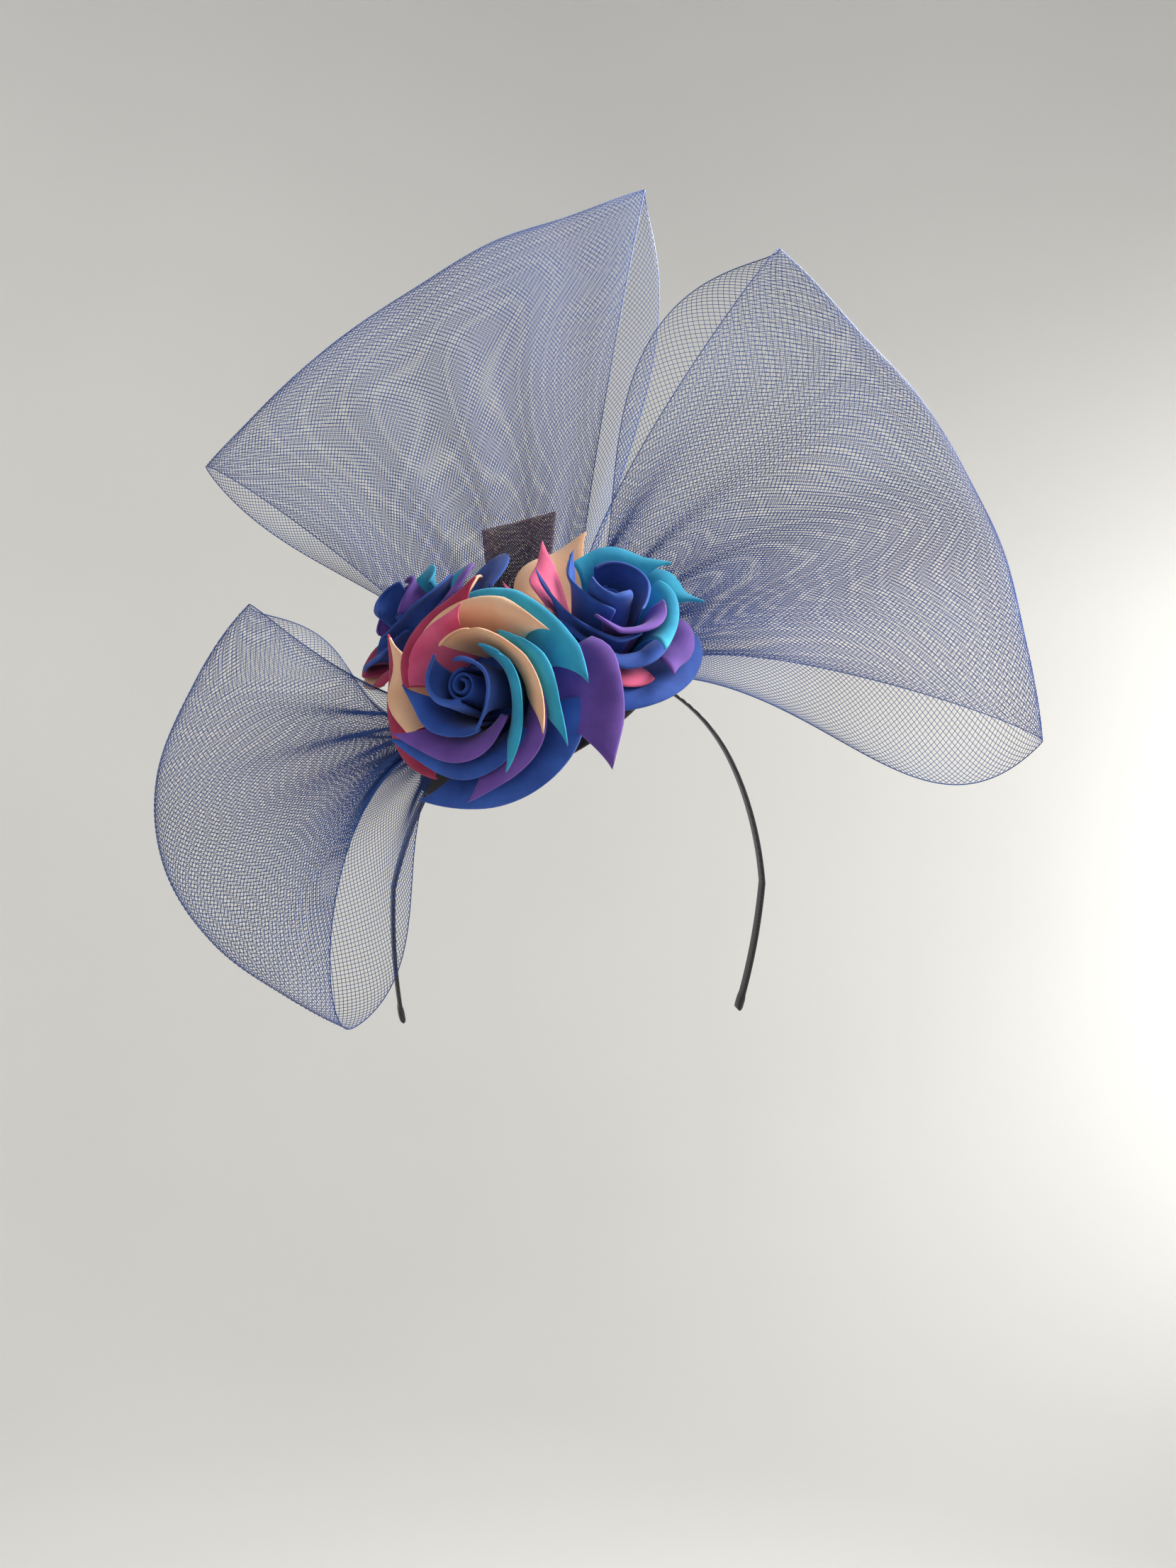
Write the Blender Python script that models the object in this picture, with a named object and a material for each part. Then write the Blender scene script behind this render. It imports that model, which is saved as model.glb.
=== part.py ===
"""A derby fascinator hat: three folded loops of wide crin braid and three foam roses on a domed
base, sewn to a covered headband. Metres, +Z up. The wearer faces -Y, and the origin is where the
inside of the headband rests on the crown of the head."""

import math

import bmesh
import bpy
import numpy as np

# The head that the hat is shaped to
HEAD_WIDTH = 0.156
HEAD_LENGTH = 0.196
HEAD_DROP = 0.095
CLEARANCE = 0.0003

# Headband
BAND_LEAN = math.radians(14)
BAND_WIDTH = 0.006
BAND_WALL = 0.0018
BAND_STAND_OFF = 0.005
BAND_LEG = 0.061
BAND_LEG_CURVE = 0.160
BAND_TIP_LENGTH = 0.008
BAND_TIP_WALL = 0.0028

# Domed base
BASE_DIAMETER = 0.116
BASE_WALL = 0.0025
BASE_TURN = math.radians(-50)
BASE_TIP = math.radians(30)

# Crin loops, each a wide braid folded double and gathered at its feet
CRIN_WALL = 0.0014
LOOP_REACH = 0.220
LOOP_GAPE = 0.060
FOOT_GAP = 0.0026
FOOT_WIDTH = 0.040
LOOP_RISE = 0.010
PLEAT_DEPTH = 0.0022
PLEATS = 5
SWELL_POWER = 1.4
SWELL_FULL = 1.3
FLARE_POWER = 3.5
FLARE_FULL = 6.0
LEAVE = 0.040

# Foam roses
ROSE_RADIUS = 0.044
ROSE_HEIGHT = 0.038
PETAL_WALL = 0.0010
PETAL_PITCH = 0.0016
PETAL_LIP = 0.003
BUD_RADIUS = 0.0078
BUD_WALL = 0.0012
BUD_TURNS = 2
BUD_RISE = 0.92
CALYX_RADIUS = 0.009
CALYX_WALL = 0.0015
CALYX_DROP = 0.005
PRESS_GAP = 0.0016
ROSE_BACK = 0.62

# Backing tab of dark mesh behind the roses
TAB_WIDTH = 0.034
TAB_HEIGHT = 0.066
TAB_WALL = 0.0012

# The hat is trimmed to be seen from a little to the wearer's right
VIEW_TURN = math.radians(-15)
SIDE = np.array([math.cos(VIEW_TURN), math.sin(VIEW_TURN), 0.0])
FACE = np.array([math.sin(VIEW_TURN), -math.cos(VIEW_TURN), 0.0])
UP = np.array([0.0, 0.0, 1.0])

# Finish: red, green, blue, roughness
COLOURS = {
    "crin_blue": (0.045, 0.10, 0.52, 0.35),
    "felt_black": (0.012, 0.012, 0.014, 0.85),
    "satin_black": (0.010, 0.010, 0.012, 0.55),
    "mesh_maroon": (0.08, 0.025, 0.04, 0.6),
    "blue": (0.035, 0.09, 0.52, 0.75),
    "purple": (0.17, 0.07, 0.40, 0.75),
    "turquoise": (0.03, 0.40, 0.60, 0.75),
    "peach": (0.85, 0.48, 0.28, 0.75),
    "pink": (0.70, 0.07, 0.20, 0.75),
    "crimson": (0.42, 0.03, 0.10, 0.75),
}

# Crin loops. The foot's middle is a share of half the base's diameter to the side and to the
# back, its line is turned by degrees, its width is a share of FOOT_WIDTH, and its first and last
# ends lie flat on the base from 0, upright, to 1. A loop has one row of ribs from its first
# selvedge to its last: the angle from upright in degrees, the reach and lean to the front as
# shares of LOOP_REACH, and the front and back gape and the back layer's sideways flare as shares
# of LOOP_GAPE.
RIB_COLUMNS = ("angle", "reach", "lean", "front", "back", "flare")
LOOPS = {
    "crin_loop_upper": {
        "foot": (0.05, 0.80),
        "foot_turn": -3,
        "foot_width": 1.15,
        "lies_flat": (0.0, 0.0),
        "ribs": (
            (-55, 0.77, -0.32, 0.35, 0.60, -0.10),
            (-44, 0.77, -0.35, 0.45, 0.55, -0.05),
            (-29, 0.80, -0.38, 0.55, 0.55, 0.00),
            (-14, 0.86, -0.41, 0.55, 0.55, 0.00),
            (-2, 0.95, -0.44, 0.50, 0.55, 0.05),
            (7, 1.02, -0.47, 0.45, 0.60, 0.19),
            (15, 1.12, -0.50, 0.40, 0.70, 0.32),
        ),
    },
    "crin_loop_right": {
        "foot": (0.665, 0.125),
        "foot_turn": -56,
        "foot_width": 1.13,
        "lies_flat": (0.0, 0.9),
        "ribs": (
            (33, 1.00, -0.14, 0.35, 0.70, -0.62),
            (46, 0.96, -0.10, 0.50, 0.60, -0.30),
            (57, 0.96, -0.06, 0.55, 0.55, 0.00),
            (68, 0.96, -0.02, 0.55, 0.55, 0.00),
            (77, 0.97, 0.02, 0.55, 0.55, 0.00),
            (87, 0.98, 0.05, 0.50, 0.60, 0.24),
            (98, 1.01, 0.09, 0.45, 0.70, 0.46),
        ),
    },
    "crin_loop_lower": {
        "foot": (-0.33, -0.22),
        "foot_turn": 95,
        "foot_width": 0.56,
        "lies_flat": (0.9, 0.9),
        "ribs": (
            (-158, 0.71, 0.16, 0.60, 0.40, -0.22),
            (-147, 0.72, 0.10, 0.55, 0.45, -0.10),
            (-134, 0.74, 0.05, 0.50, 0.45, 0.00),
            (-121, 0.74, -0.01, 0.50, 0.45, 0.00),
            (-108, 0.70, -0.07, 0.44, 0.45, 0.00),
            (-93, 0.61, -0.12, 0.38, 0.45, 0.10),
            (-75, 0.53, -0.18, 0.32, 0.50, 0.30),
        ),
    },
}

# Roses: middle of the hub as shares of half the base's diameter to the side and to the back,
# its rise as a share of ROSE_HEIGHT, the way that it faces (side, face, up), how strongly it
# holds its room against its neighbours, and its petals from the bud outwards. A petal has its
# first and last clock angle in degrees and its reach there as a share of ROSE_RADIUS.
ROSES = {
    "rose_front": {
        "seat": (0.01, -0.56, 0.51),
        "stem": (0.01, -0.50),
        "faces": (-0.45, 0.88, 0.12),
        "hold": 1.5,
        "crin_under": 0.0,
        "petals": (
            (150, 330, 0.24, 0.28, "blue"),
            (0, 150, 0.25, 0.50, "blue"),
            (150, 270, 0.57, 0.50, "blue"),
            (120, 240, 0.61, 0.70, "purple"),
            (30, 150, 0.40, 0.77, "turquoise"),
            (-30, 120, 0.36, 0.79, "peach"),
            (120, 240, 0.80, 0.77, "blue"),
            (90, 180, 0.81, 0.90, "purple"),
            (30, 120, 0.61, 0.94, "turquoise"),
            (270, 360, 0.61, 0.63, "pink"),
            (-60, 60, 0.77, 0.84, "peach"),
            (270, 360, 0.84, 0.88, "crimson"),
            (-30, 90, 0.94, 0.98, "turquoise"),
            (90, 210, 1.09, 0.98, "blue"),
            (240, 300, 0.93, 0.95, "peach"),
            (210, 300, 1.02, 1.05, "crimson"),
            (60, 120, 1.28, 1.30, "purple"),
        ),
    },
    "rose_right": {
        "seat": (0.63, -0.13, 0.43),
        "stem": (0.37, -0.06),
        "faces": (0.15, 0.77, 0.62),
        "hold": 1.0,
        "crin_under": 2.5,
        "petals": (
            (120, 270, 0.23, 0.28, "blue"),
            (-30, 150, 0.34, 0.41, "blue"),
            (180, 330, 0.38, 0.54, "blue"),
            (90, 210, 0.57, 0.49, "purple"),
            (150, 300, 0.55, 0.70, "blue"),
            (60, 150, 0.61, 0.68, "turquoise"),
            (-30, 60, 0.66, 0.64, "turquoise"),
            (120, 240, 0.77, 0.72, "blue"),
            (270, 330, 0.77, 0.84, "pink"),
            (90, 150, 0.84, 0.86, "purple"),
            (150, 240, 0.91, 0.80, "pink"),
            (210, 300, 0.88, 1.00, "pink"),
            (90, 210, 1.02, 0.98, "blue"),
            (-60, 0, 1.12, 1.00, "peach"),
            (30, 90, 0.80, 0.80, "turquoise"),
        ),
    },
    "rose_left": {
        "seat": (-0.30, 0.34, 0.66),
        "stem": (-0.18, 0.33),
        "faces": (-0.72, 0.30, 0.62),
        "hold": 1.1,
        "crin_under": 4.5,
        "petals": (
            (180, 330, 0.26, 0.38, "blue"),
            (0, 120, 0.28, 0.55, "purple"),
            (-30, 60, 0.50, 0.59, "turquoise"),
            (210, 330, 0.52, 0.57, "purple"),
            (30, 150, 0.68, 0.59, "blue"),
            (120, 210, 0.66, 0.75, "blue"),
            (210, 330, 0.70, 0.77, "blue"),
            (0, 90, 0.82, 0.80, "purple"),
            (180, 240, 0.80, 0.78, "crimson"),
            (240, 360, 0.88, 0.92, "turquoise"),
            (30, 90, 0.90, 0.88, "peach"),
            (120, 180, 0.88, 0.87, "crimson"),
            (-60, 60, 1.06, 1.02, "blue"),
            (180, 240, 0.88, 0.88, "peach"),
        ),
    },
}

CLOCK_STEP = 30
CLOCK_TRIM = 3
RIB_COLUMNS_OUT = 14
RIB_ROWS = 16


def unit(vector):
    """A vector's direction."""
    return vector / np.linalg.norm(vector)


HEAD_AXES = np.array([HEAD_WIDTH / 2, HEAD_LENGTH / 2, HEAD_DROP])
BAND_UP = np.array([0.0, -math.sin(BAND_LEAN), math.cos(BAND_LEAN)])
HEAD_MIDDLE = -BAND_UP / np.linalg.norm(BAND_UP / HEAD_AXES)
BASE_OUT = unit(
    math.sin(BASE_TIP) * (math.sin(BASE_TURN) * FACE * -1.0 - math.cos(BASE_TURN) * SIDE)
    + math.cos(BASE_TIP) * UP
)
BASE_SIDE = unit(SIDE - SIDE.dot(BASE_OUT) * BASE_OUT)
BASE_BACK = np.cross(BASE_OUT, BASE_SIDE)
BASE_INSIDE = BAND_WALL + 2 * CLEARANCE
BASE_OUTSIDE = BASE_INSIDE + BASE_WALL


def over_head(direction, lift):
    """The point over the head in a direction from its middle, at a height above it."""
    return HEAD_MIDDLE + direction / np.linalg.norm(direction / (HEAD_AXES + lift))


def on_base(side, back, lift):
    """A point measured along the base's dome from its middle, lifted off its upper face."""
    arc = math.hypot(side, back) / HEAD_DROP
    across = (BASE_SIDE * side + BASE_BACK * back) / max(math.hypot(side, back), 1e-9)
    direction = BASE_OUT * math.cos(arc) + across * math.sin(arc)
    return over_head(direction, BASE_OUTSIDE + lift)


def height_over_base(point):
    """How far a point stands above the level of the base's upper face."""
    outward = point - HEAD_MIDDLE
    face = over_head(unit(outward), BASE_OUTSIDE)
    return np.linalg.norm(outward) - np.linalg.norm(face - HEAD_MIDDLE)


def clear_scene():
    """Remove what the scene holds."""
    for old in list(bpy.data.objects):
        bpy.data.objects.remove(old)


def material(name):
    """The Principled material of one finish."""
    found = bpy.data.materials.get(name)
    if found:
        return found
    made = bpy.data.materials.new(name)
    made.use_nodes = True
    red, green, blue, rough = COLOURS[name]
    shader = made.node_tree.nodes["Principled BSDF"]
    shader.inputs["Base Color"].default_value = (red, green, blue, 1.0)
    shader.inputs["Roughness"].default_value = rough
    made.diffuse_color = (red, green, blue, 1.0)
    return made


def solid(name, top, under, finish, ring=False):
    """One closed body between two grids of points, joined along their free edges."""
    mesh = bpy.data.meshes.new(name)
    shape = bmesh.new()
    rows, columns = top.shape[:2]
    upper = [[shape.verts.new(top[i, j]) for j in range(columns)] for i in range(rows)]
    lower = [[shape.verts.new(under[i, j]) for j in range(columns)] for i in range(rows)]
    turns = rows if ring else rows - 1
    for i in range(turns):
        k = (i + 1) % rows
        for j in range(columns - 1):
            shape.faces.new((upper[i][j], upper[k][j], upper[k][j + 1], upper[i][j + 1]))
            shape.faces.new((lower[i][j], lower[i][j + 1], lower[k][j + 1], lower[k][j]))
        for j, flip in ((0, False), (columns - 1, True)):
            edge = (upper[k][j], upper[i][j], lower[i][j], lower[k][j])
            shape.faces.new(edge[::-1] if flip else edge)
    if not ring:
        for i, flip in ((0, True), (rows - 1, False)):
            for j in range(columns - 1):
                edge = (upper[i][j + 1], upper[i][j], lower[i][j], lower[i][j + 1])
                shape.faces.new(edge if not flip else edge[::-1])
    bmesh.ops.remove_doubles(shape, verts=shape.verts, dist=1e-6)
    bmesh.ops.dissolve_degenerate(shape, edges=shape.edges, dist=1e-6)
    bmesh.ops.triangulate(shape, faces=shape.faces)
    bmesh.ops.recalc_face_normals(shape, faces=shape.faces)
    shape.to_mesh(mesh)
    shape.free()
    mesh.shade_smooth()
    mesh.set_sharp_from_angle(angle=math.radians(50))
    mesh.materials.append(material(finish))
    made = bpy.data.objects.new(name, mesh)
    bpy.context.scene.collection.objects.link(made)
    return made


def thickened(middle, wall):
    """The two faces of a sheet of even thickness, from its middle surface."""
    along = np.gradient(middle, axis=0)
    across = np.gradient(middle, axis=1)
    normal = np.cross(along, across)
    normal /= np.linalg.norm(normal, axis=2, keepdims=True)
    return middle + normal * wall / 2, middle - normal * wall / 2


def headband():
    """The covered band: over the crown in one leaning plane, then down both sides."""
    leg_end = math.asin(BAND_LEG / BAND_LEG_CURVE)
    stations = []
    for angle in np.radians(np.linspace(-90, 90, 17)):
        stand_off = BAND_STAND_OFF * max(0.0, (abs(angle) / (math.pi / 2) - 0.55) / 0.45) ** 2
        direction = np.array([math.sin(angle), 0, 0]) + BAND_UP * math.cos(angle)
        inner = over_head(direction, stand_off)
        stations.append((inner, direction, BAND_WALL))
    legs = []
    tip_start = leg_end * (1 - BAND_TIP_LENGTH / BAND_LEG)
    tip_slope = tip_start + 0.02
    for angle, wall in (
        (leg_end * 0.35, BAND_WALL),
        (leg_end * 0.65, BAND_WALL),
        (tip_start, BAND_WALL),
        (tip_slope, BAND_TIP_WALL),
        (leg_end - 0.01, BAND_TIP_WALL),
        (leg_end, BAND_WALL),
    ):
        reach = (HEAD_WIDTH / 2 + BAND_STAND_OFF) * math.cos(angle)
        drop = -BAND_UP * BAND_LEG_CURVE * math.sin(angle)
        legs.append((reach, drop, wall))
    sides = {}
    for sign in (-1, 1):
        outward = np.array([float(sign), 0, 0])
        sides[sign] = [(HEAD_MIDDLE + outward * r + d, outward, w) for r, d, w in legs]
    stations = sides[-1][::-1] + stations + sides[1]
    edge = np.cross(np.array([1.0, 0, 0]), BAND_UP)
    outer, inner = [], []
    for point, outward, wall in stations:
        across = (-0.5, -0.38, 0.38, 0.5)
        raised = (0.25, 0.0, 0.0, 0.25)
        middle = point + outward * BAND_WALL / 2
        outer.append([middle + edge * a * BAND_WIDTH + outward * wall * (0.5 - r)
                      for a, r in zip(across, raised)])
        inner.append([middle + edge * a * BAND_WIDTH - outward * wall * (0.5 - r)
                      for a, r in zip(across, raised)])
    solid("headband", np.array(outer), np.array(inner), "satin_black")


def base():
    """The domed button that the trimming is sewn to."""
    spokes = np.radians(np.arange(0, 360, 15))
    half = BASE_DIAMETER / 2
    radii = (0.0, 0.3, 0.6, 0.85, 0.985)
    top = np.array([[on_base(half * r * math.cos(a), half * r * math.sin(a), 0) for r in radii]
                    for a in spokes])
    under = np.array([[on_base(half * r * math.cos(a), half * r * math.sin(a), -BASE_WALL)
                       for r in radii] for a in spokes])
    edge = np.array([on_base(half * math.cos(a), half * math.sin(a), -BASE_WALL / 2)
                     for a in spokes])
    top = np.concatenate([top, edge[:, None]], axis=1)
    under = np.concatenate([under, edge[:, None]], axis=1)
    solid("base", top, under, "felt_black", ring=True)


def rib_table(loop):
    """A loop's ribs as columns of numbers."""
    return dict(zip(RIB_COLUMNS, np.array(LOOPS[loop]["ribs"], float).T))


def smooth_read(table, column, share):
    """A column read between its rows, on a smooth curve."""
    values = table[column]
    place = share * (len(values) - 1)
    i = min(int(place), len(values) - 2)
    f = place - i
    before = values[max(i - 1, 0)]
    after = values[min(i + 2, len(values) - 1)]
    a, b = values[i], values[i + 1]
    slope_a, slope_b = (b - before) / 2, (after - a) / 2
    return (
        a * (1 + 2 * f) * (1 - f) ** 2 + slope_a * f * (1 - f) ** 2
        + b * f * f * (3 - 2 * f) - slope_b * f * f * (1 - f)
    )


def loop_rib(loop, share, pleated=True):
    """One rib: its foot on the base and its way out of it, where it folds, and its
    front and back gape and flare."""
    table = rib_table(loop)
    side, back = LOOPS[loop]["foot"]
    flat_first, flat_last = LOOPS[loop]["lies_flat"]
    flat = flat_first + (flat_last - flat_first) * share
    half = BASE_DIAMETER / 2
    turn = math.radians(LOOPS[loop]["foot_turn"])
    along = (share - 0.5) * FOOT_WIDTH * LOOPS[loop]["foot_width"]
    pleat = PLEAT_DEPTH * math.sin(2 * math.pi * PLEATS * share) if pleated else 0.0
    line = (math.cos(turn), math.sin(turn))
    over = (-math.sin(turn), math.cos(turn))
    foot_side = side * half + along * line[0] + pleat * over[0]
    foot_back = back * half + along * line[1] + pleat * over[1]
    lift = 2 * CLEARANCE + 0.6 * (FOOT_GAP + CRIN_WALL) * flat
    foot = on_base(foot_side, foot_back, lift)
    level = over[0] * BASE_SIDE + over[1] * BASE_BACK
    outward = unit(unit(foot - HEAD_MIDDLE) * (1 - flat) + level * flat)
    angle = math.radians(smooth_read(table, "angle", share))
    root = on_base(0, 0, LOOP_RISE)
    fold = root + LOOP_REACH * (
        smooth_read(table, "reach", share) * (math.sin(angle) * SIDE + math.cos(angle) * UP)
        + smooth_read(table, "lean", share) * FACE
    )
    gapes = [LOOP_GAPE * smooth_read(table, key, share) for key in RIB_COLUMNS[3:]]
    return foot, outward, fold, gapes


def loop_middle(loop, share, along, pleated=True):
    """A point on the surface midway between a loop's two layers, 0 at the foot, 1 at the fold."""
    foot, outward, fold, _ = loop_rib(loop, share, pleated)
    bend = foot + outward * LEAVE
    rest = 1 - along
    return foot * rest * rest + 2 * bend * along * rest + fold * along * along


def loop_point(loop, share, turn):
    """A point of the braid: share runs from selvedge to selvedge, turn from the front foot at 0
    over the fold at a quarter circle to the back foot at a half circle."""
    along = math.sin(turn)
    front, back, flare = loop_rib(loop, share)[3]
    step = 0.01
    low, high = max(share - step, 0), min(share + step, 1)
    near, far = max(along - step, 0), min(along + step, 1)
    across = unit(loop_middle(loop, high, along, False) - loop_middle(loop, low, along, False))
    outward = loop_middle(loop, share, far, False) - loop_middle(loop, share, near, False)
    facing = unit(np.cross(outward, across))
    if facing.dot(FACE) < 0:
        facing = -facing
    swell = SWELL_FULL * along**SWELL_POWER
    apart = math.cos(turn) * (FOOT_GAP / 2 + swell * (front if turn < math.pi / 2 else back))
    aside = max(0.0, -math.cos(turn)) ** 2 * FLARE_FULL * along**FLARE_POWER * flare
    return loop_middle(loop, share, along) + facing * apart + across * aside


def crin_loop(name):
    """One loop of braid, folded over at its reach and gathered at both feet."""
    shares = np.linspace(0, 1, RIB_COLUMNS_OUT + 1)
    turns = np.linspace(0, math.pi, RIB_ROWS + 1)
    middle = np.array([[loop_point(name, s, t) for t in turns] for s in shares])
    solid(name, *thickened(middle, CRIN_WALL), "crin_blue")


def rose_frame(name):
    """A rose's hub and its axis, with the directions of twelve and three o'clock."""
    side, back, rise = ROSES[name]["seat"]
    half = BASE_DIAMETER / 2
    hub = on_base(side * half, back * half, rise * ROSE_HEIGHT)
    faces = ROSES[name]["faces"]
    axis = unit(faces[0] * SIDE + faces[1] * FACE + faces[2] * UP)
    twelve = unit(UP - UP.dot(axis) * axis)
    return hub, axis, twelve, np.cross(twelve, axis)


def room(name, clock):
    """How far a rose can spread at a clock angle before a neighbour or the head."""
    hub, axis, twelve, three = rose_frame(name)
    spoke = math.cos(clock) * twelve + math.sin(clock) * three
    most = 1.3 * ROSE_RADIUS
    middle = hub + axis * ROSE_HEIGHT * 0.35
    for other in ROSES:
        if other == name:
            continue
        there_hub, there_axis = rose_frame(other)[:2]
        there = there_hub + there_axis * ROSE_HEIGHT * 0.35
        part = ROSES[name]["hold"] / (ROSES[name]["hold"] + ROSES[other]["hold"])
        wall = middle + (there - middle) * part
        towards = unit(there - middle)
        closing = spoke.dot(towards)
        start = hub + axis * ROSE_HEIGHT * 0.2
        if closing > 0.05:
            most = min(most, ((wall - start).dot(towards) - PRESS_GAP) / closing)
    start = hub + axis * ROSE_HEIGHT * 0.2
    screen = on_base(0, ROSE_BACK * BASE_DIAMETER / 2, 0)
    if spoke.dot(-FACE) > 0.05:
        most = min(most, (screen - start).dot(-FACE) / spoke.dot(-FACE))
    while most > ROSE_RADIUS / 2:
        rim = hub + spoke * most + axis * rim_height(most)
        if height_over_base(rim) > PETAL_WALL + PETAL_LIP + ROSES[name]["crin_under"] * FOOT_GAP:
            break
        most -= 0.0005
    return most


def rim_height(reach):
    """The height of a rose's dome over its hub at a distance from its axis."""
    return max(ROSE_HEIGHT * (1 - (reach / (1.2 * ROSE_RADIUS)) ** 2), 0.12 * ROSE_HEIGHT)


def petal_layers(petals):
    """Each petal's layer: one more than the petals inside it that it overlaps."""
    layers = []
    for i, (start, end, *_) in enumerate(petals):
        under = [0]
        for j, (first, last, *_) in enumerate(petals[:i]):
            for lap in (-360, 0, 360):
                if first + lap < end and start < last + lap:
                    under.append(layers[j])
        layers.append(max(under) + 1)
    return layers


def petal_point(name, petal, layer, clock, share, climb):
    """A point of a petal's middle surface. Share runs along its rim, climb from foot to rim."""
    hub, axis, twelve, three = rose_frame(name)
    _, _, near, far, _ = petal
    angle = math.radians(clock)
    spoke = math.cos(angle) * twelve + math.sin(angle) * three
    foot = BUD_RADIUS + BUD_WALL + (layer - 0.5) * PETAL_PITCH
    wanted = ROSE_RADIUS * (near + (far - near) * share)
    pressed = min(1.0, room(name, angle) / (1.06 * ROSE_RADIUS))
    reach = foot + (wanted - foot) * pressed
    height = rim_height(wanted)
    ease = 0.2 + 0.3 * wanted / ROSE_RADIUS
    crest = 1.0 - (0.06 + 0.26 * wanted / ROSE_RADIUS) * abs(2 * share - 1.2) ** 1.6
    t = climb * crest
    rest = 1 - t
    out = foot * rest * rest + 2 * (foot + ease * (reach - foot)) * t * rest + reach * t * t
    up = CLEARANCE + PETAL_WALL / 2 + 2 * height * 0.9 * t * rest + height * t * t
    curl = max(0.0, (climb - 0.7) / 0.3) ** 2 * (1 - abs(2 * share - 1) ** 2)
    return hub + spoke * (out + PETAL_LIP * 0.3 * curl) + axis * (up - PETAL_LIP * curl)


def petals(name):
    """A rose's petals, each its own sheet, lapping over the next layer out."""
    rows = ROSES[name]["petals"]
    climbs = (0.0, 0.4, 0.75, 0.92, 1.0)
    for number, (petal, layer) in enumerate(zip(rows, petal_layers(rows)), 1):
        start, end = petal[:2]
        clocks = list(range(start, end + 1, CLOCK_STEP))
        clocks[0] += CLOCK_TRIM
        clocks[-1] -= CLOCK_TRIM
        middle = np.array([
            [petal_point(name, petal, layer, clock, (clock - start) / (end - start), climb)
             for climb in climbs] for clock in clocks])
        solid(f"{name}_petal_{number:02d}", *thickened(middle, PETAL_WALL), petal[4])


def bud(name):
    """The rolled strip in a rose's middle."""
    hub, axis, twelve, three = rose_frame(name)
    turns = np.linspace(0, BUD_TURNS * 2 * math.pi, int(BUD_TURNS * 14))
    middle = []
    for turn in turns:
        grow = turn / turns[-1]
        spoke = math.cos(turn) * twelve + math.sin(turn) * three
        radius = (BUD_RADIUS - BUD_WALL / 2) * (0.30 + 0.70 * grow)
        middle.append([
            hub + axis * (CLEARANCE + rise * ROSE_HEIGHT * (BUD_RISE - 0.04 * grow))
            + spoke * radius * waist for rise, waist in ((0, 1.0), (0.6, 1.0), (1.0, 0.9))])
    solid(f"{name}_bud", *thickened(np.array(middle), BUD_WALL), "blue")


def calyx(name):
    """The stub under a rose: a flat seat for the petals, drawn in to a foot on the base."""
    hub, axis, twelve, three = rose_frame(name)
    side, back = ROSES[name]["stem"]
    half = BASE_DIAMETER / 2
    layers = max(petal_layers(ROSES[name]["petals"]))
    seat = BUD_RADIUS + BUD_WALL + layers * PETAL_PITCH + PETAL_WALL
    spokes = np.radians(np.arange(0, 360, 30))
    lean = np.array([twelve.dot(BASE_SIDE), twelve.dot(BASE_BACK)])
    turn = math.atan2(lean[0], lean[1])
    top, under = [], []
    for spoke in spokes:
        rim = math.cos(spoke) * twelve + math.sin(spoke) * three
        foot = (math.sin(spoke + turn), math.cos(spoke + turn))
        stand = [on_base(side * half + foot[0] * r, back * half + foot[1] * r, CLEARANCE)
                 for r in (0.0, CALYX_RADIUS / 2, CALYX_RADIUS)]
        plate = hub + rim * seat
        waist = hub + rim * CALYX_RADIUS - axis * CALYX_DROP
        top.append([hub, plate, plate - axis * CALYX_WALL, waist])
        under.append([stand[0], stand[1], stand[2], stand[2] * 0.5 + waist * 0.5])
    solid(f"{name}_calyx", np.array(top), np.array(under), "blue", ring=True)


def backing_tab():
    """The standing tab of dark mesh behind the roses, with its top edge rolled back."""
    half = BASE_DIAMETER / 2
    middle = []
    for across in np.linspace(-0.5, 0.5, 5):
        foot = on_base(0.02 * half + across * TAB_WIDTH * 0.6, 0.605 * half, CLEARANCE)
        column = []
        for rise in np.linspace(0, 1, 7):
            over = TAB_WIDTH * 0.4 * across * rise
            back = 0.05 * TAB_HEIGHT * rise * rise - 0.08 * TAB_HEIGHT * (2 * across) ** 2 * rise
            column.append(foot + SIDE * over + UP * TAB_HEIGHT * rise - FACE * back)
        middle.append(column)
    solid("backing_tab", *thickened(np.array(middle), TAB_WALL), "mesh_maroon")


def main():
    """Build the hat."""
    clear_scene()
    headband()
    base()
    for name in LOOPS:
        crin_loop(name)
    for name in ROSES:
        calyx(name)
        bud(name)
        petals(name)
    backing_tab()


main()
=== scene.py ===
"""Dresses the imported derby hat: braided crin nets, rolled foam roses, felt base and satin band."""

import math

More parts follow.
